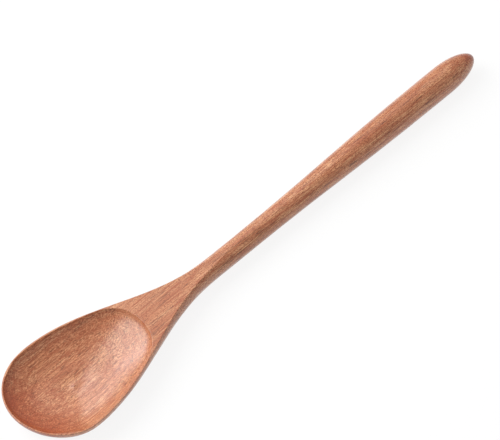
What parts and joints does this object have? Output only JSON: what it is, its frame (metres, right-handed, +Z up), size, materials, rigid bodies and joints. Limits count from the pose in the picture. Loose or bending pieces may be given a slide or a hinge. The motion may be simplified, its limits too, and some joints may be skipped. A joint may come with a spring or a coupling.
{
  "type": "wooden spoon",
  "caption": "Long wooden cooking spoon: an egg-shaped bowl with a thin rim, a flat neck face that runs out on a round handle, and a thicker rounded grip.",
  "frame": {"origin": "on the table plane under the middle of the spoon's length and width, as it lies bowl up", "axes": "+X from the tip of the bowl towards the butt of the handle, +Y across, +Z up out of the bowl"},
  "size_m": [0.457, 0.0856, 0.0232],
  "materials": {
    "hardwood": "close-grained hardwood, sanded and oiled to a satin sheen"
  },
  "bodies": {
    "root": {"spoon": "hardwood"}
  },
  "joints": []
}
